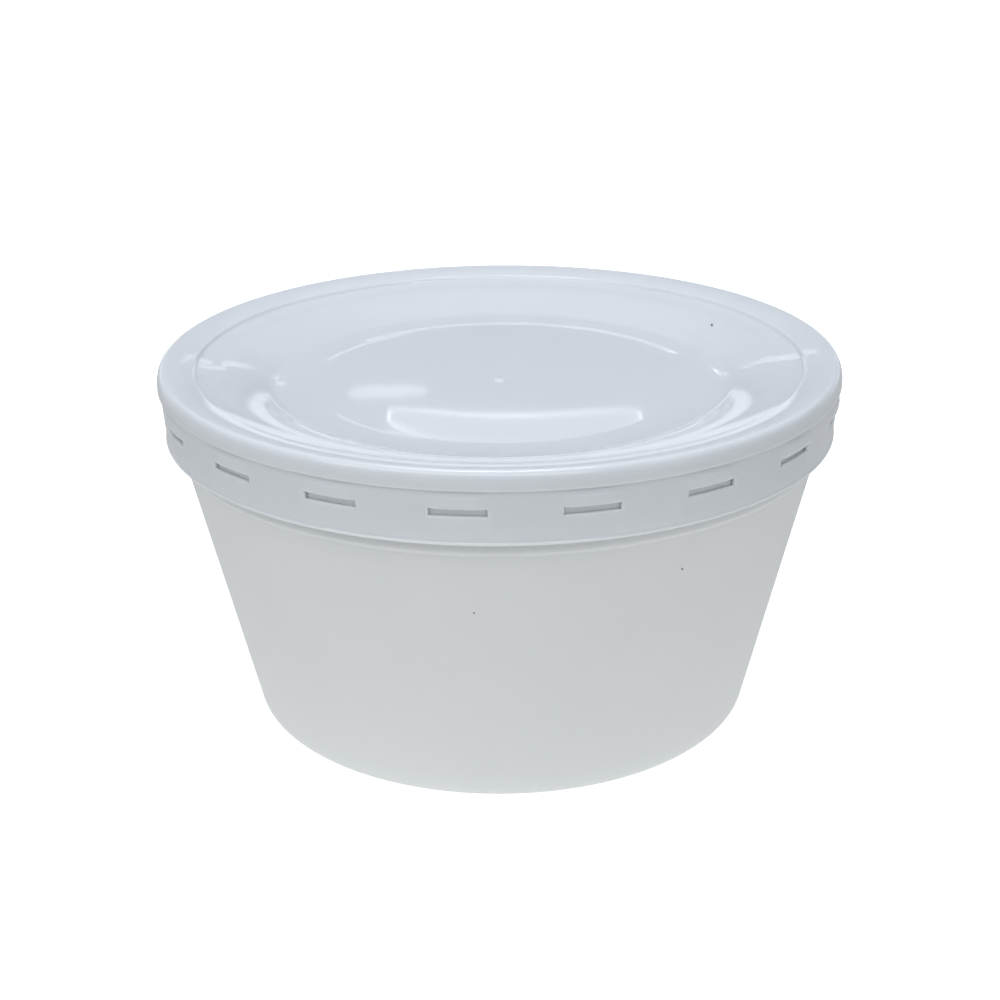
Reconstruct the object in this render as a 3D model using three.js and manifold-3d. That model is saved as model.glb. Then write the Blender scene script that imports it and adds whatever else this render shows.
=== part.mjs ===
// Round takeaway soup container: a thin milky plastic cup, shut by its press-on lid.
// Lengths are millimetres. The container stands on z = 0, and its axis is +Z.

import * as THREE from 'three';
import { mergeVertices } from 'three/addons/utils/BufferGeometryUtils.js';
import Module from 'manifold-3d';

const wasm = await Module();
wasm.setup();

// Whole container
const overallHeight = 75;
const sides = 72;

// Cup: side wall, floor and foot
const cupWall = 0.75;
const baseRadius = 51.75;
const flare = 0.2385;
const cornerRound = 2.5;
const floorLift = 1.6;
const footInnerRadius = 47;
const footSlope = 1.4;
const insideRound = 3.2;
const edgeRound = 0.4;

// Cup: the ridge where the wall steps out to the upright collar
const ridgeHeight = 57.3;
const ridgeRise = 0.8;
const ridgeStep = 0.8;
const collarRadius = 66.6;

// Cup: rim with its turned-down lip
const rimHeight = 73.7;
const rimThickness = 0.95;
const rimRadius = 68.05;
const lipThickness = 0.8;
const lipDrop = 2;
const rimRound = 0.8;
const mouthRound = 0.5;

// Lid: sunk centre panel, sloping shoulder and raised ring
const lidWall = 0.7;
const panelHeight = 68.8;
const panelRadius = 40;
const panelRound = 3;
const panelBankRadius = 46.8;
const panelBankRise = 0.4;
const panelEdgeRadius = 48.8;
const panelEdgeHeight = 70.2;
const shoulderRadius = 62;
const shoulderHeight = 73.5;
const ringInnerRadius = 62.5;
const ringInnerHeight = 74.1;
const ringCrestRadius = 66.5;
const ringCrestRound = 1.8;
const ringOuterRadius = 69.8;
const ringRound = 1.3;

// Lid: skirt, set in below the ring, and the thin rib that seals the cup's mouth
const skirtStepHeight = 71.4;
const skirtTopRadius = 69.3;
const skirtFootRadius = 68.5;
const skirtFootHeight = 60.8;
const ribOuterRadius = 65.3;
const ribThickness = 0.7;
const ribDepth = 3.2;

// Lid: catches that snap under the rim, each over its own slot
const catchCount = 18;
const catchWidth = 10.4;
const firstCatchAngle = -96.3;
const catchTop = 70.35;
const catchBottom = 67.7;
const catchRadius = 67.6;
const catchLip = 0.6;
const swellRadius = 69.75;
const swellTop = 71;
const swellSlope = 0.6;
const slotHeight = 1.5;

// Marks left by moulding at both centres
const gateRadius = 1.5;
const gateTopRadius = 1.05;
const gateHeight = 0.45;

const cupPlastic = new THREE.MeshStandardMaterial({ color: 0xc6c9cc, roughness: 0.45, metalness: 0 });
const lidPlastic = new THREE.MeshStandardMaterial({ color: 0xd9e2e9, roughness: 0.28, metalness: 0 });

function cupRadius(z) {
  return baseRadius + flare * z;
}

// Outline through corners [radius, height, round, steps]. A corner with a round value is
// cut off that far before and after it, and a curve in that many steps goes between.
function outline(corners) {
  const points = [];
  corners.forEach(([radius, height, round = 0, steps = 2], i) => {
    const corner = new THREE.Vector2(radius, height);
    if (round === 0) {
      points.push(corner);
      return;
    }
    const before = new THREE.Vector2(corners[i - 1][0], corners[i - 1][1]);
    const after = new THREE.Vector2(corners[i + 1][0], corners[i + 1][1]);
    const start = corner.clone().add(before.sub(corner).setLength(round));
    const end = corner.clone().add(after.sub(corner).setLength(round));
    points.push(...new THREE.QuadraticBezierCurve(start, corner, end).getPoints(steps));
  });
  return points;
}

// The same outline moved straight down, and walked the other way round.
function underside(corners, thickness) {
  return corners.map(([radius, height, ...rest]) => [radius, height - thickness, ...rest]).reverse();
}

// Closed solid from a closed geometry. Quads on the axis leave triangles without area.
function solidFrom(geometry) {
  geometry.deleteAttribute('normal');
  geometry.deleteAttribute('uv');
  const merged = mergeVertices(geometry);
  const index = merged.index.array;
  const triVerts = [];
  for (let i = 0; i < index.length; i += 3) {
    const [a, b, c] = index.slice(i, i + 3);
    if (a !== b && b !== c && c !== a) {
      triVerts.push(a, b, c);
    }
  }
  const vertProperties = merged.attributes.position.array;
  return new wasm.Manifold(
    new wasm.Mesh({ numProp: 3, vertProperties, triVerts: new Uint32Array(triVerts) })
  );
}

// Outline spun round the axis. Its faces point out when it runs anticlockwise.
function turned(corners) {
  const points = outline(corners);
  if (THREE.ShapeUtils.isClockWise(points)) {
    points.reverse();
  }
  const geometry = new THREE.LatheGeometry(points, sides);
  geometry.rotateX(Math.PI / 2);
  return solidFrom(geometry);
}

function meshFrom(solid, name, material) {
  const { vertProperties, triVerts } = solid.getMesh();
  const geometry = new THREE.BufferGeometry();
  geometry.setAttribute('position', new THREE.BufferAttribute(vertProperties, 3));
  geometry.setIndex(new THREE.BufferAttribute(triVerts, 1));
  geometry.computeVertexNormals();
  const mesh = new THREE.Mesh(geometry, material);
  mesh.name = name;
  return mesh;
}

// Outside of the cup, from the middle of its underside up to the lip.
function cupOutside() {
  const ridgeTop = ridgeHeight + ridgeRise;
  const lipBottom = rimHeight - rimThickness - lipDrop;
  const rimUnderside = rimHeight - rimThickness;
  return [
    [0, floorLift - gateHeight],
    [gateTopRadius, floorLift - gateHeight],
    [gateRadius, floorLift],
    [footInnerRadius - footSlope, floorLift, edgeRound],
    [footInnerRadius, 0],
    [baseRadius, 0, cornerRound, 4],
    [cupRadius(ridgeHeight), ridgeHeight, edgeRound],
    [cupRadius(ridgeTop) + ridgeStep, ridgeTop, edgeRound],
    [collarRadius, rimUnderside],
    [rimRadius - lipThickness, rimUnderside],
    [rimRadius - lipThickness, lipBottom],
    [rimRadius, lipBottom],
    [rimRadius, rimHeight, rimRound]
  ];
}

// Inside of the cup, from the mouth down to the middle of the floor.
function cupInside() {
  const ridgeTop = ridgeHeight + ridgeRise;
  const floorHeight = floorLift + cupWall;
  return [
    [collarRadius - cupWall, rimHeight, mouthRound],
    [cupRadius(ridgeTop) + ridgeStep - cupWall, ridgeTop + cupWall / 2],
    [cupRadius(ridgeHeight) - cupWall, ridgeHeight + cupWall / 2],
    [cupRadius(floorHeight) - cupWall, floorHeight, insideRound, 3],
    [0, floorHeight]
  ];
}

function makeCup() {
  return turned([...cupOutside(), ...cupInside()]);
}

// Top of the lid from the edge of the flat panel outwards to the ring.
const panelCorners = [
  [panelRadius, panelHeight, panelRound, 3],
  [panelBankRadius, panelHeight + panelBankRise],
  [panelEdgeRadius, panelEdgeHeight],
  [shoulderRadius, shoulderHeight],
  [ringInnerRadius, ringInnerHeight]
];

// Top of the lid from its gate mark out to the ring, then down the skirt.
function lidOutside() {
  return [
    [0, panelHeight + gateHeight],
    [gateTopRadius, panelHeight + gateHeight],
    [gateRadius, panelHeight],
    ...panelCorners,
    [ringCrestRadius, overallHeight, ringCrestRound],
    [ringOuterRadius, overallHeight, ringRound, 3],
    [ringOuterRadius, skirtStepHeight],
    [skirtTopRadius, skirtStepHeight],
    [skirtFootRadius, skirtFootHeight]
  ];
}

// Inner face of the skirt, the sealing rib, then the underside back to the axis.
function lidInside() {
  const ringUnderside = overallHeight - lidWall;
  return [
    [skirtFootRadius - lidWall, skirtFootHeight],
    [skirtTopRadius - lidWall, ringUnderside, ringRound - lidWall],
    [ringCrestRadius, ringUnderside],
    [ribOuterRadius, ringUnderside - lidWall / 2],
    [ribOuterRadius, ringUnderside - ribDepth],
    [ribOuterRadius - ribThickness, ringUnderside - ribDepth],
    [ribOuterRadius - ribThickness, ringUnderside - lidWall / 2],
    ...underside(panelCorners, lidWall),
    [0, panelHeight - lidWall]
  ];
}

// Bars across the whole lid, which pick out the places of the catches from a full ring.
function catchBars() {
  const barLength = 2 * (skirtTopRadius + 2 * lidWall);
  const bars = Array.from({ length: catchCount / 2 }, (_, i) => {
    const bar = new THREE.BoxGeometry(barLength, catchWidth, overallHeight);
    bar.translate(0, 0, overallHeight / 2);
    bar.rotateZ(THREE.MathUtils.degToRad(firstCatchAngle + (i * 360) / catchCount));
    return solidFrom(bar);
  });
  return bars.reduce((joined, bar) => joined.add(bar));
}

// Radius in the middle of the skirt's wall, which leans in towards its foot.
function midSkirt(z) {
  const lean = (skirtTopRadius - skirtFootRadius) / (skirtStepHeight - skirtFootHeight);
  return skirtFootRadius - lidWall / 2 + lean * (z - skirtFootHeight);
}

// Ring of the catches' section: a hook inwards and a soft swelling outwards.
function catchRing() {
  return turned([
    [midSkirt(catchBottom), catchBottom],
    [swellRadius, catchBottom + swellSlope],
    [swellRadius, swellTop - swellSlope],
    [midSkirt(swellTop), swellTop],
    [midSkirt(catchTop), catchTop],
    [catchRadius, catchTop],
    [catchRadius, catchTop - catchLip],
    [midSkirt(catchBottom), catchBottom]
  ]);
}

// Ring through the whole skirt at the height of the slots, under the catches.
function slotRing() {
  const inside = skirtFootRadius - lidWall;
  const outside = skirtTopRadius + lidWall;
  return turned([
    [inside, catchBottom - slotHeight],
    [outside, catchBottom - slotHeight],
    [outside, catchBottom],
    [inside, catchBottom],
    [inside, catchBottom - slotHeight]
  ]);
}

function makeLid() {
  const bars = catchBars();
  const shell = turned([...lidOutside(), ...lidInside()]);
  return shell.add(catchRing().intersect(bars)).subtract(slotRing().intersect(bars));
}

const container = new THREE.Group();
container.add(meshFrom(makeCup(), 'cup', cupPlastic));
container.add(meshFrom(makeLid(), 'lid', lidPlastic));

export default container;
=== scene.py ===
# %% [markdown]
# # A takeaway soup container in Blender
#
# The object is a round soup container of milky polypropylene: a thin flared cup and the lid
# that presses over its rim. Both are moulded, so nearly every form on them is turned about one
# axis, and what isn't, such as the lid's slots and catches, repeats evenly round it.
#
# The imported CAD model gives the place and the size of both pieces. Each is rebuilt here as a
# smooth mesh that keeps those sizes, because the CAD solids are faceted and their edges are
# bare, while the look of this plastic lives in its small rounded edges.

# %% Load the frame
import math

import bmesh
import bpy
from mathutils import Matrix, Vector


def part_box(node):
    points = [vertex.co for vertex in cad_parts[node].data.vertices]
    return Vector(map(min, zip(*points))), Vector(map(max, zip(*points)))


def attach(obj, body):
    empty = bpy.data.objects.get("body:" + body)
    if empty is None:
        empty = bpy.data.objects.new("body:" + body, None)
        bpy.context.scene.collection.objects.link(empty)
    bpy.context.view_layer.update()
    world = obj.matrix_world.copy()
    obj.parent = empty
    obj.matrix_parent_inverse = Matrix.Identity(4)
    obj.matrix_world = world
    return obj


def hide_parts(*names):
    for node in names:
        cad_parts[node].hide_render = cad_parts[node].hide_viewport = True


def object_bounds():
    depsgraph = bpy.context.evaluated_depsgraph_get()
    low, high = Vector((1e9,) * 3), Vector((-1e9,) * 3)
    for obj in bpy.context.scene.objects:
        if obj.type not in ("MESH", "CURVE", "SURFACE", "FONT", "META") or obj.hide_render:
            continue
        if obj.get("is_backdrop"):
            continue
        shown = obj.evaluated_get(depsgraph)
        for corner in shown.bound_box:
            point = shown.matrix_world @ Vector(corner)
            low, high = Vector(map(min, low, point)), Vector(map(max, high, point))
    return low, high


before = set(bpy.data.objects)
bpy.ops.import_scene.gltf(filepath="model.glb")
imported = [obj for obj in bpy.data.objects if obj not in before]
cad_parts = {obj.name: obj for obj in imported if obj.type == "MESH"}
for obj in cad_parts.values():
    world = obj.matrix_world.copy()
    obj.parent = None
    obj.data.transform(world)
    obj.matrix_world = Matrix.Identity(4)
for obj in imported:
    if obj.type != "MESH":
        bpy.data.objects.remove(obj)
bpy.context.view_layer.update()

MM = 0.001

# %% [markdown]
# ## Sizes
#
# The frame gives the outer sizes, so the new pieces can't drift from the solids that carry
# them. The rest are the wall, the rounded edges and the steps in between, in millimetres.

# %% Sizes from the frame
lid_low, lid_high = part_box("lid")
cup_low, cup_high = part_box("cup")

TOP = lid_high.z / MM
RING_OUTER = lid_high.x / MM
SKIRT_FOOT = lid_low.z / MM
RIM = cup_high.z / MM
RIM_RADIUS = cup_high.x / MM
print(f"lid {TOP:.1f} high, {2 * RING_OUTER:.1f} wide; cup {RIM:.1f} high, {2 * RIM_RADIUS:.1f} wide")

# %% Sizes of the cup
CUP_WALL = 0.75
BASE_RADIUS = 51.75
FLARE = 0.2385
FLOOR_LIFT = 1.6
FOOT_INNER = 47
RIDGE = 57.3
RIDGE_TOP = 58.1
RIDGE_STEP = 0.8
COLLAR = 67.5
COLLAR_STEP = 62.5
COLLAR_STEP_RISE = 1.5
BEAD = 68.03
BEAD_FOOT, BEAD_TOP = 64.8, 69.0
RIM_THICKNESS = 0.95
LIP_DROP = 2


def cup_radius(z):
    """Outer radius of the flared side at a height."""
    return BASE_RADIUS + FLARE * z


# %% Sizes of the lid
LID_WALL = 0.7
PANEL = 68.8
PANEL_DISH = 0.02
PANEL_RADIUS = 40
BANK_RADIUS, BANK_RISE = 46.8, 0.4
SHOULDER_FOOT = (48.8, 70.2)
SHOULDER_BULGE = (54, 72.4)
SHOULDER_TOP = (62, 73.5)
RING_INNER = (62.5, 74.1)
RING_CREST = 66.5
SKIRT_STEP = 71.4
SKIRT_TOP_RADIUS = 69.3
SKIRT_FOOT_RADIUS = 68.5
FOOT_BEAD = 0.25
RIB_RADIUS = 65.3
RIB_DEPTH = 3.2
GATE_RADIUS = 1.5
GATE_HEIGHT = 0.45

# %% Sizes of the catches and slots
CATCHES = 18
FIRST_CATCH = math.radians(-96.3)
SLOT_TOP = 67.7
SLOT_BOTTOM = 66.3
SLOT_ROUND = 0.3
SWELL_TOP = 71
SWELL = 0.5
CATCH_TOP = 70.35
CATCH_FOOT = 69.7
CATCH_RADIUS = 67.6

# %% [markdown]
# ## Turned shapes
#
# A turned piece starts as an outline in the plane through the axis: a few vertices joined by
# edges. Bevelling a vertex of such a wire rounds that corner, so the outline is written as
# sharp corners with a rounding value, which is how a mould maker's drawing gives it. Spin
# then carries the wire once round the axis. The steps are a multiple of the number of
# catches, so that every slot falls on whole columns of faces.

# %% Turn an outline
COLUMNS_PER_CATCH = 16
STEPS = COLUMNS_PER_CATCH * CATCHES
MERGE = 1e-6


def turn(corners):
    """Closed shell from corners (radius, height, rounding, segments) that start and end on the axis."""
    bm = bmesh.new()
    wire = [bm.verts.new((corner[0] * MM, 0, corner[1] * MM)) for corner in corners]
    for start, end in zip(wire, wire[1:]):
        bm.edges.new((start, end))
    for vert, corner in zip(wire, corners):
        if len(corner) > 2:
            bmesh.ops.bevel(
                bm, geom=[vert], offset=corner[2] * MM, segments=corner[3],
                profile=0.5, affect="VERTICES", material=-1,
            )
    bmesh.ops.spin(
        bm, geom=bm.verts[:] + bm.edges[:], cent=(0, 0, 0), axis=(0, 0, 1),
        angle=math.tau, steps=STEPS, use_merge=True,
    )
    bmesh.ops.remove_doubles(bm, verts=bm.verts, dist=MERGE)
    bmesh.ops.recalc_face_normals(bm, faces=bm.faces)
    return bm


def finish_piece(bm, name, material, node):
    """Makes the object, which sits at the origin, hangs it under the root body and hides the CAD part it
    stands for.
    """
    mesh = bpy.data.meshes.new(name)
    bm.to_mesh(mesh)
    bm.free()
    mesh.shade_smooth()
    mesh.set_sharp_from_angle(angle=math.radians(40))
    mesh.materials.append(material)
    piece = bpy.data.objects.new(name, mesh)
    bpy.context.scene.collection.objects.link(piece)
    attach(piece, "root")
    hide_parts(node)
    size = [round(x / MM, 1) for x in piece.dimensions]
    print(name, "faces:", len(mesh.polygons), "size in mm:", size)
    return piece


# %% [markdown]
# ## Colour and node helpers
#
# Colours are given as sRGB hex values, as a paint program shows them. Cycles wants linear
# light, so one function converts them. One more function adds a node, sets its properties,
# and either links or fills its inputs, which keeps each material readable as a recipe.

# %% Colour and node helpers
def srgb(code):
    """Linear colour from a hex code such as "c8ccd0"."""
    parts = [int(code[i:i + 2], 16) / 255 for i in (0, 2, 4)]
    linear = [p / 12.92 if p <= 0.04045 else ((p + 0.055) / 1.055) ** 2.4 for p in parts]
    return (*linear, 1.0)


def add(tree, kind, inputs=None, **settings):
    """Adds a node. Settings are its properties; inputs are values, or sockets that feed it."""
    made = tree.nodes.new(kind)
    for name, value in settings.items():
        setattr(made, name, value)
    for name, value in (inputs or {}).items():
        if isinstance(value, bpy.types.NodeSocket):
            tree.links.new(value, made.inputs[name])
        else:
            made.inputs[name].default_value = value
    return made


# %% [markdown]
# ## Milky polypropylene
#
# Takeaway containers are moulded from natural polypropylene, a waxy plastic that isn't
# clear: light enters, scatters about a millimetre, and leaves somewhere else. Subsurface
# scattering gives that. The wall is thinner than the scatter distance, so light comes
# through it, and the closed cup looks lit from within, as the real one does.
#
# The cup has a satin finish with a fine orange peel, because its mould is only sanded. The
# lid's mould is polished, so it reflects, with the slow waves that thin panels cool into.

# %% Polypropylene
PP_IOR = 1.49
SCATTER = (2.2 * MM, 2.2 * MM, 2.2 * MM)


def polypropylene(name, pale, deep, roughness, peel_mm, peel_depth, wave_mm, wave_depth):
    """Milky moulded plastic. Pale and deep are its two close tones, mixed by slow noise."""
    material = bpy.data.materials.new(name)
    material.use_nodes = True
    tree = material.node_tree
    tree.nodes.clear()
    place = add(tree, "ShaderNodeTexCoord").outputs["Object"]
    cloud = add(tree, "ShaderNodeTexNoise", {"Vector": place, "Scale": 1 / (22 * MM), "Detail": 2.0})
    tone = add(
        tree, "ShaderNodeMix",
        {0: cloud.outputs["Fac"], 6: srgb(pale), 7: srgb(deep)}, data_type="RGBA",
    )
    peel = add(tree, "ShaderNodeTexNoise", {"Vector": place, "Scale": 1 / (peel_mm * MM), "Detail": 2.0})
    wave = add(tree, "ShaderNodeTexNoise", {"Vector": place, "Scale": 1 / (wave_mm * MM), "Detail": 0.0})
    slow = add(
        tree, "ShaderNodeBump",
        {"Height": wave.outputs["Fac"], "Distance": wave_depth * MM, "Strength": 1.0},
    )
    fine = add(
        tree, "ShaderNodeBump",
        {
            "Height": peel.outputs["Fac"], "Distance": peel_depth * MM, "Strength": 1.0,
            "Normal": slow.outputs["Normal"],
        },
    )
    scuff = add(
        tree, "ShaderNodeMapRange",
        {"Value": cloud.outputs["Fac"], "To Min": roughness * 0.85, "To Max": roughness * 1.15},
    )
    shader = add(
        tree, "ShaderNodeBsdfPrincipled",
        {
            "Base Color": tone.outputs[2], "Roughness": scuff.outputs["Result"], "IOR": PP_IOR,
            "Subsurface Weight": 1.0, "Subsurface Radius": SCATTER, "Subsurface Scale": 0.5,
            "Normal": fine.outputs["Normal"],
        },
        subsurface_method="RANDOM_WALK",
    )
    add(tree, "ShaderNodeOutputMaterial", {"Surface": shader.outputs["BSDF"]})
    return material


cup_plastic = polypropylene("polypropylene_sanded_mould", "e9eaea", "e4e6e5", 0.55, 0.7, 0.02, 26, 0.10)
lid_plastic = polypropylene("polypropylene_polished_mould", "dee0e2", "dadcdf", 0.03, 0.9, 0.0006, 30, 0.010)

# %% [markdown]
# ## The cup
#
# The outline climbs from the middle of the underside, over the foot ring that the cup stands
# on, up the flared side to the ridge where the wall steps out, up the collar, and round the
# rim with its turned-down lip. Then it goes back down inside, a wall's thickness away.

# %% The cup
def cup_outline():
    """Corners of the cup's section, outside up and inside down."""
    rim_under = RIM - RIM_THICKNESS
    lip_foot = rim_under - LIP_DROP
    floor_top = FLOOR_LIFT + CUP_WALL
    collar_foot = cup_radius(RIDGE_TOP) + RIDGE_STEP
    return [
        (0, FLOOR_LIFT - GATE_HEIGHT),
        (GATE_RADIUS * 0.7, FLOOR_LIFT - GATE_HEIGHT, 0.15, 2),
        (GATE_RADIUS, FLOOR_LIFT),
        (FOOT_INNER - 1.4, FLOOR_LIFT, 0.5, 3),
        (FOOT_INNER, 0, 0.25, 3),
        (BASE_RADIUS, 0, 2.5, 8),
        (cup_radius(RIDGE), RIDGE, 0.4, 4),
        (collar_foot, RIDGE_TOP, 0.4, 4),
        (collar_foot, COLLAR_STEP, 0.4, 3),
        (COLLAR, COLLAR_STEP + COLLAR_STEP_RISE, 0.4, 3),
        (COLLAR, BEAD_FOOT),
        (BEAD, BEAD_FOOT + 0.4, 0.2, 2),
        (BEAD, BEAD_TOP - 0.4, 0.2, 2),
        (COLLAR, BEAD_TOP),
        (COLLAR, lip_foot, 0.1, 2),
        (RIM_RADIUS, lip_foot, 0.2, 3),
        (RIM_RADIUS, RIM, 0.7, 5),
        (COLLAR - CUP_WALL, RIM, 0.5, 4),
        (COLLAR - CUP_WALL, COLLAR_STEP + COLLAR_STEP_RISE + CUP_WALL / 2, 0.35, 3),
        (collar_foot - CUP_WALL, COLLAR_STEP + CUP_WALL / 2, 0.35, 3),
        (collar_foot - CUP_WALL, RIDGE_TOP + CUP_WALL / 2, 0.35, 3),
        (cup_radius(RIDGE) - CUP_WALL, RIDGE + CUP_WALL / 2, 0.35, 3),
        (cup_radius(floor_top) - CUP_WALL, floor_top, 3.2, 8),
        (0, floor_top),
    ]


cup = finish_piece(turn(cup_outline()), "cup_shell", cup_plastic, "cup")

# %% [markdown]
# ## The lid
#
# The lid's top sinks to a flat panel in the middle, climbs the sloping shoulder, and steps up
# to the ring that lies over the rim. The ring rounds off into the skirt. The skirt is drawn
# as a straight line, but with extra rows of vertices where the slots and the swellings over
# the catches will be, because those are shaped afterwards by moving and cutting faces.

# %% The lid's section
def along(z, top, foot):
    """Radius at a height on the straight line between two (radius, height) points."""
    share = (top[1] - z) / (top[1] - foot[1])
    return top[0] + share * (foot[0] - top[0])


SWELL_ROWS = [SWELL_TOP, 70.6, 70.15, 69.7, 69.2, 68.7, 68.2, SLOT_TOP]
OUTER_LINE = ((SKIRT_TOP_RADIUS, SKIRT_STEP), (SKIRT_FOOT_RADIUS, SKIRT_FOOT))
INNER_LINE = ((SKIRT_TOP_RADIUS - LID_WALL, TOP - LID_WALL), (SKIRT_FOOT_RADIUS - LID_WALL, SKIRT_FOOT))


def lid_outline():
    """Corners of the lid's section, from the middle of its top round to the middle below."""
    under = TOP - LID_WALL
    top_side = [
        (0, PANEL - PANEL_DISH + GATE_HEIGHT),
        (GATE_RADIUS * 0.7, PANEL - PANEL_DISH + GATE_HEIGHT, 0.15, 2),
        (GATE_RADIUS, PANEL - PANEL_DISH),
        (PANEL_RADIUS / 3, PANEL - PANEL_DISH * 0.89),
        (PANEL_RADIUS * 2 / 3, PANEL - PANEL_DISH * 0.56),
        (PANEL_RADIUS, PANEL, 3, 8),
        (BANK_RADIUS, PANEL + BANK_RISE, 1.0, 5),
        (*SHOULDER_FOOT, 0.3, 3),
        (*SHOULDER_BULGE, 4, 8),
        (*SHOULDER_TOP, 0.2, 2),
        (*RING_INNER, 0.2, 3),
        (RING_CREST, TOP, 1.8, 8),
        (RING_OUTER, TOP, 2.8, 12),
        (RING_OUTER, SKIRT_STEP, 0.15, 3),
        (SKIRT_TOP_RADIUS, SKIRT_STEP, 0.2, 3),
    ]
    skirt_outer = [(along(z, *OUTER_LINE), z) for z in [*SWELL_ROWS, SLOT_BOTTOM]]
    foot = [
        (SKIRT_FOOT_RADIUS, SKIRT_FOOT + 0.6, 0.1, 2),
        (SKIRT_FOOT_RADIUS + FOOT_BEAD, SKIRT_FOOT + 0.3, 0.1, 2),
        (SKIRT_FOOT_RADIUS + FOOT_BEAD, SKIRT_FOOT, 0.1, 2),
        (SKIRT_FOOT_RADIUS - LID_WALL, SKIRT_FOOT, 0.2, 3),
    ]
    skirt_inner = [(along(z, *INNER_LINE), z) for z in [SLOT_BOTTOM, SLOT_TOP, CATCH_FOOT, CATCH_TOP]]
    below = [
        (SKIRT_TOP_RADIUS - LID_WALL, under, 1.5, 6),
        (RING_CREST, under),
        (RIB_RADIUS, under - LID_WALL / 2),
        (RIB_RADIUS, TOP - LID_WALL - RIB_DEPTH, 0.2, 2),
        (RIB_RADIUS - LID_WALL, TOP - LID_WALL - RIB_DEPTH, 0.2, 2),
        (RIB_RADIUS - LID_WALL, under - LID_WALL / 2),
        (RING_INNER[0], RING_INNER[1] - LID_WALL),
        (SHOULDER_TOP[0], SHOULDER_TOP[1] - LID_WALL),
        (SHOULDER_BULGE[0], SHOULDER_BULGE[1] - LID_WALL, 4, 8),
        (SHOULDER_FOOT[0], SHOULDER_FOOT[1] - LID_WALL),
        (BANK_RADIUS, PANEL + BANK_RISE - LID_WALL),
        (PANEL_RADIUS, PANEL - LID_WALL, 3, 6),
        (0, PANEL - PANEL_DISH - LID_WALL),
    ]
    return [*top_side, *skirt_outer, *foot, *skirt_inner, *below]


lid_bm = turn(lid_outline())
print("lid section turned:", len(lid_bm.verts), "vertices")

# %% [markdown]
# ## Catches and slots
#
# Under the skirt's top, catches reach in below the cup's rim. A mould can only form such a
# hook if a bar of steel stands right under it, and that bar leaves a slot through the skirt
# below each catch. The wall swells out a little over the catch.
#
# The whole lid is first turned about the axis so that a slot is centred on its place. Then,
# at each catch, vertices of the swelling are moved out, inner faces are extruded into the
# hook, and the faces of the slot are deleted and the two holes bridged into a clean reveal.

# %% Catches and slots
SLOT_COLUMNS = 7
COLUMN = math.tau / STEPS
HALF_SLOT = SLOT_COLUMNS * COLUMN / 2

bmesh.ops.rotate(
    lid_bm, verts=lid_bm.verts, cent=(0, 0, 0),
    matrix=Matrix.Rotation(FIRST_CATCH - HALF_SLOT, 3, "Z"),
)


def swing(point):
    """Signed angle from the nearest catch to a point, and its radius in millimetres."""
    angle = math.atan2(point.y, point.x) - FIRST_CATCH
    pitch = math.tau / CATCHES
    return (angle + pitch / 2) % pitch - pitch / 2, point.xy.length / MM


def ease(t):
    """Smooth step from 0 to 1."""
    t = min(max(t, 0), 1)
    return t * t * (3 - 2 * t)


def push(vert, radius_mm):
    """Moves a vertex straight out or in to a radius."""
    vert.co.xy = vert.co.xy.normalized() * radius_mm * MM


# %% Swell the wall over each catch
for vert in lid_bm.verts:
    angle, radius = swing(vert.co)
    height = vert.co.z / MM
    if not SLOT_TOP - 0.01 < height < SWELL_TOP + 0.01:
        continue
    if radius < along(height, *OUTER_LINE) - 0.05:
        continue
    across = ease((HALF_SLOT + COLUMN - abs(angle)) / (3 * COLUMN))
    up = ease((SWELL_TOP - height) / 1.2) * (0.55 + 0.45 * ease((height - SLOT_TOP) / 0.8))
    push(vert, radius + SWELL * across * up)

# %% Pull the hooks inwards
hook_faces = [
    face for face in lid_bm.faces
    if abs(swing(face.calc_center_median())[0]) < HALF_SLOT
    and CATCH_FOOT < face.calc_center_median().z / MM < CATCH_TOP
    and CATCH_RADIUS < swing(face.calc_center_median())[1] < SKIRT_TOP_RADIUS - LID_WALL
]
pulled = bmesh.ops.extrude_face_region(lid_bm, geom=hook_faces)
for item in pulled["geom"]:
    if isinstance(item, bmesh.types.BMVert):
        push(item, CATCH_RADIUS)
bmesh.ops.delete(lid_bm, geom=hook_faces, context="FACES_ONLY")
print("hook faces:", len(hook_faces))

# %% Cut the slots
slot_faces = [
    face for face in lid_bm.faces
    if abs(swing(face.calc_center_median())[0]) < HALF_SLOT
    and SLOT_BOTTOM < face.calc_center_median().z / MM < SLOT_TOP
    and swing(face.calc_center_median())[1] > SKIRT_FOOT_RADIUS - LID_WALL
]
slots = {}
for face in slot_faces:
    centre = face.calc_center_median()
    number = round((math.atan2(centre.y, centre.x) - FIRST_CATCH) / (math.tau / CATCHES)) % CATCHES
    slots.setdefault(number, []).append(face)
edges_of = {}
for number, faces in slots.items():
    count = {}
    for face in faces:
        for edge in face.edges:
            count[edge] = count.get(edge, 0) + 1
    edges_of[number] = [edge for edge, uses in count.items() if uses == 1]
bmesh.ops.delete(lid_bm, geom=slot_faces, context="FACES")
outer_edges = []
for edges in edges_of.values():
    bmesh.ops.bridge_loops(lid_bm, edges=edges)
    outer_edges += [edge for edge in edges if swing(edge.verts[0].co)[1] > SKIRT_FOOT_RADIUS + 0.3]
bmesh.ops.bevel(
    lid_bm, geom=outer_edges, offset=SLOT_ROUND * MM, segments=2,
    profile=0.5, affect="EDGES", material=-1,
)
bmesh.ops.remove_doubles(lid_bm, verts=lid_bm.verts, dist=MERGE)
bmesh.ops.recalc_face_normals(lid_bm, faces=lid_bm.faces)
print("slots cut:", len(slots))

lid = finish_piece(lid_bm, "lid_shell", lid_plastic, "lid")

# %% [markdown]
# ## Specks of dust
#
# Three dark specks lie on this container: one on the lid's shoulder and two on the cup. Each
# is a tiny flat drop. Those on the cup are pressed a little into the plastic, and the lid's
# lies just clear of the shoulder.

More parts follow.
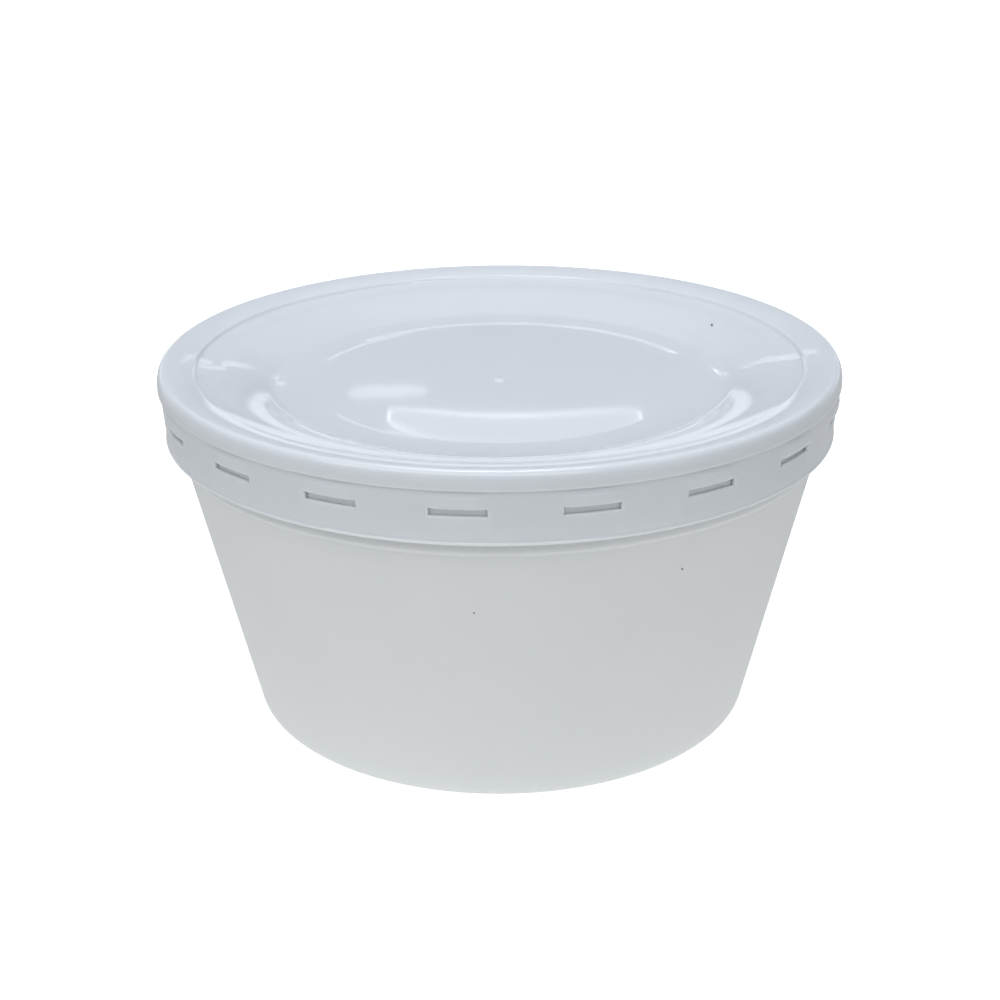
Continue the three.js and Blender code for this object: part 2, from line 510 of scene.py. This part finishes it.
# %% Specks of dust
def speck(bm, radius, height, angle, size):
    """Tiny flat drop at a place round the axis, in millimetres and degrees."""
    turned = math.radians(angle)
    place = Vector((radius * math.cos(turned), radius * math.sin(turned), height)) * MM
    made = bmesh.ops.create_icosphere(bm, subdivisions=2, radius=size * MM)
    bmesh.ops.scale(bm, verts=made["verts"], vec=(1.0, 0.7, 0.6))
    skewed = Matrix.Rotation(turned + 0.5, 3, "Z")
    bmesh.ops.rotate(bm, verts=made["verts"], cent=(0, 0, 0), matrix=skewed)
    bmesh.ops.translate(bm, verts=made["verts"], vec=place)


def lint(name, colour):
    """Matt dust, a shade uneven from speck to speck."""
    material = bpy.data.materials.new(name)
    material.use_nodes = True
    tree = material.node_tree
    shader = tree.nodes["Principled BSDF"]
    place = add(tree, "ShaderNodeTexCoord").outputs["Object"]
    cloud = add(tree, "ShaderNodeTexNoise", {"Vector": place, "Scale": 1 / (0.3 * MM)})
    tone = add(
        tree, "ShaderNodeMix",
        {0: cloud.outputs["Fac"], 6: srgb(colour), 7: srgb("8a8884")}, data_type="RGBA",
    )
    tree.links.new(tone.outputs[2], shader.inputs["Base Color"])
    shader.inputs["Roughness"].default_value = 0.9
    return material


lid_dust_bm = bmesh.new()
speck(lid_dust_bm, 53.8, 72.35, 30.0, 0.32)
cup_dust_bm = bmesh.new()
speck(cup_dust_bm, 63.6, 49.75, -58.3, 0.28)
speck(cup_dust_bm, 62.45, 44.9, -94.6, 0.22)
dust = lint("dust_pressed_into_plastic", "4a4846")
for name, bm in (("lid_dust", lid_dust_bm), ("cup_dust", cup_dust_bm)):
    mesh = bpy.data.meshes.new(name)
    bm.to_mesh(mesh)
    bm.free()
    mesh.shade_smooth()
    mesh.materials.append(dust)
    specks = bpy.data.objects.new(name, mesh)
    bpy.context.scene.collection.objects.link(specks)
    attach(specks, "root")
    print(name, "vertices:", len(mesh.vertices))

# %% [markdown]
# ## Floor and light
#
# The container stands on white paper, which the camera sees plain and evenly lit. A second
# sheet, hidden from the camera just below it, throws the light back up that paper in bright
# light would, strongest near the object, so the lower part of the cup is the brightest. Two
# sheets keep those jobs apart: one sets the background, the other the light on the cup.
#
# The room is a little brighter towards the camera. It is brightest low down behind the
# object, because the front of the lid's shoulder mirrors the horizon there. Soft boxes
# overhead and over the camera light the rest.

# %% Floor
FLOOR_RADIUS = 4.0
GLOW_CENTRE = (0.0, -0.05, 0.0)
GLOW_NEAR, GLOW_FAR = 0.06, 0.26


def floor_sheet(name, height, colour, near_glow, far_glow):
    """Round sheet with a diffuse colour, and a glow that changes away from its centre."""
    sheet_bm = bmesh.new()
    bmesh.ops.create_circle(sheet_bm, cap_ends=True, segments=64, radius=FLOOR_RADIUS)
    bmesh.ops.translate(sheet_bm, verts=sheet_bm.verts, vec=(0, 0, height))
    mesh = bpy.data.meshes.new(name)
    sheet_bm.to_mesh(mesh)
    sheet_bm.free()
    material = bpy.data.materials.new(name)
    material.use_nodes = True
    shader = material.node_tree.nodes["Principled BSDF"]
    shader.inputs["Base Color"].default_value = srgb(colour)
    shader.inputs["Roughness"].default_value = 0.9
    shader.inputs["Specular IOR Level"].default_value = 0.0
    shader.inputs["Emission Color"].default_value = srgb("ffffff")
    tree = material.node_tree
    place = add(tree, "ShaderNodeTexCoord").outputs["Object"]
    away = add(tree, "ShaderNodeVectorMath", {0: place, 1: GLOW_CENTRE}, operation="DISTANCE")
    glow = add(
        tree, "ShaderNodeMapRange",
        {
            "Value": away.outputs["Value"], "From Min": GLOW_NEAR, "From Max": GLOW_FAR,
            "To Min": near_glow, "To Max": far_glow,
        },
        interpolation_type="SMOOTHSTEP",
    )
    tree.links.new(glow.outputs["Result"], shader.inputs["Emission Strength"])
    mesh.materials.append(material)
    sheet = bpy.data.objects.new(name, mesh)
    bpy.context.scene.collection.objects.link(sheet)
    sheet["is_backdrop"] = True
    return sheet


white_sheet = floor_sheet("white_sheet", -0.0002, "dcdcdc", 0.70, 0.70)
white_sheet.visible_diffuse = False
white_sheet.visible_glossy = False
white_sheet.visible_transmission = False
paper = floor_sheet("paper", -0.0004, "d8dad8", 0.50, 0.24)
paper.visible_camera = False

# %% Room
world = bpy.data.worlds.new("room")
world.use_nodes = True
bpy.context.scene.world = world
sky = world.node_tree
sky.nodes.clear()
direction = add(sky, "ShaderNodeTexCoord").outputs["Generated"]
part = add(sky, "ShaderNodeSeparateXYZ", {"Vector": direction})
back = add(
    sky, "ShaderNodeMapRange",
    {"Value": part.outputs["Y"], "From Min": -0.7, "From Max": 0.5, "To Min": 0.62, "To Max": 0.30},
    interpolation_type="SMOOTHSTEP",
)
up = add(
    sky, "ShaderNodeMapRange",
    {"Value": part.outputs["Z"], "From Min": 0.25, "From Max": 0.8, "To Min": 0.0, "To Max": 0.08},
)
low = add(
    sky, "ShaderNodeMapRange",
    {"Value": part.outputs["Z"], "From Min": 0.11, "From Max": 0.16, "To Min": 0.85, "To Max": 0.0},
    interpolation_type="SMOOTHSTEP",
)
behind = add(
    sky, "ShaderNodeMapRange",
    {"Value": part.outputs["Y"], "From Min": 0.5, "From Max": 0.9, "To Min": 0.0, "To Max": 1.0},
    interpolation_type="SMOOTHSTEP",
)
horizon = add(
    sky, "ShaderNodeMath",
    {0: low.outputs["Result"], 1: behind.outputs["Result"]}, operation="MULTIPLY",
)
level = add(sky, "ShaderNodeMath", {0: back.outputs["Result"], 1: up.outputs["Result"]}, operation="ADD")
band = add(sky, "ShaderNodeMath", {0: level.outputs["Value"], 1: horizon.outputs["Value"]}, operation="ADD")
background = add(
    sky, "ShaderNodeBackground",
    {"Color": srgb("eaeef3"), "Strength": band.outputs["Value"]},
)
add(sky, "ShaderNodeOutputWorld", {"Surface": background.outputs["Background"]})


# %% Soft boxes
def soft_box(name, place, aim, size, power):
    """Area light at a place in metres, turned to aim at a point."""
    light = bpy.data.lights.new(name, "AREA")
    light.shape = "RECTANGLE"
    light.size, light.size_y = size
    light.energy = power
    lamp = bpy.data.objects.new(name, light)
    lamp.location = place
    lamp.rotation_euler = (Vector(aim) - Vector(place)).to_track_quat("-Z", "Y").to_euler()
    lamp.visible_camera = False
    bpy.context.scene.collection.objects.link(lamp)
    return lamp


middle = (0, 0, TOP / 2 * MM)
overhead = soft_box("overhead_box", (-0.03, 0.16, 0.95), middle, (0.50, 0.40), 4.4)
front = soft_box("front_strip", (-0.18, -0.60, 0.74), middle, (1.40, 0.36), 3.2)
overhead.data.color = srgb("e8f2fe")[:3]
front.data.color = srgb("f6f8fc")[:3]


# %% Lamp behind, which the lid's panel mirrors
LAMP_DISTANCE = 1.2
LAMP_POINTS = 64


def lamp_point(across, up):
    """Place of a point of the lamp. Angles are seen from the lid, in degrees."""
    turned, raised = math.radians(across), math.radians(up)
    level = LAMP_DISTANCE * Vector((math.sin(turned), math.cos(turned), math.tan(raised)))
    return level + Vector((0, 0, PANEL * MM))


def bowed_lamp(name, centre, half_width, up, half_height, bow, radiance, line=0.0):
    """Glowing lamp, bowed like an arch with round ends. With a line width only its outline glows."""
    lamp_bm = bmesh.new()
    rings = []
    for inset in (0.0, line or half_height):
        ring = []
        for i in range(LAMP_POINTS):
            turn_of = math.tau * i / LAMP_POINTS
            t = math.cos(turn_of) * (1 - inset / half_width)
            lift = math.copysign(abs(math.sin(turn_of)) ** 0.6, math.sin(turn_of)) * (half_height - inset)
            ring.append(lamp_bm.verts.new(lamp_point(centre + half_width * t, up - bow * t * t + lift)))
        rings.append(ring)
    for i in range(LAMP_POINTS):
        j = (i + 1) % LAMP_POINTS
        lamp_bm.faces.new((rings[0][i], rings[0][j], rings[1][j], rings[1][i]))
    bmesh.ops.remove_doubles(lamp_bm, verts=lamp_bm.verts, dist=MERGE)
    mesh = bpy.data.meshes.new(name)
    lamp_bm.to_mesh(mesh)
    lamp_bm.free()
    glow = bpy.data.materials.new(name)
    glow.use_nodes = True
    tree = glow.node_tree
    tree.nodes.clear()
    light = add(tree, "ShaderNodeEmission", {"Color": srgb("ffffff"), "Strength": radiance})
    add(tree, "ShaderNodeOutputMaterial", {"Surface": light.outputs["Emission"]})
    mesh.materials.append(glow)
    lamp = bpy.data.objects.new(name, mesh)
    lamp.visible_camera = False
    bpy.context.scene.collection.objects.link(lamp)
    lamp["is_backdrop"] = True
    return lamp


bowed_lamp("lamp_face", 0.6, 5.05, 20.03, 0.42, 0.62, 0.65)
bowed_lamp("lamp_edge", 0.6, 5.15, 20.03, 0.50, 0.62, 3.0, 0.10)
bowed_lamp("lamp_left", -4.5, 1.6, 18.6, 0.22, 0.0, 1.1)

# %% [markdown]
# ## Camera
#
# The view is worked out from the photo: the outlines of the lid's rings, the skirt's edge
# and the foot fix how steeply the camera looks down and from how far.

# %% Camera
LENS = 70.13
DISTANCE = 0.413
PITCH = math.radians(21.79)
ROLL = math.radians(-0.41)
target = Vector((-0.1 * MM, 0, 42.1 * MM))

lens = bpy.data.cameras.new("camera")
lens.lens = LENS
lens.sensor_width = 36
lens.clip_start = 0.01
camera = bpy.data.objects.new("camera", lens)
bpy.context.scene.collection.objects.link(camera)
back = Vector((0, -math.cos(PITCH), math.sin(PITCH)))
camera.location = target + back * DISTANCE
look = (-back).to_track_quat("-Z", "Y").to_matrix().to_4x4()
camera.rotation_euler = (look @ Matrix.Rotation(ROLL, 4, "Z")).to_euler()
bpy.context.scene.camera = camera

bpy.context.scene.view_settings.view_transform = "Standard"

# %% Bounds of the finished scene
low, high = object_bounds()
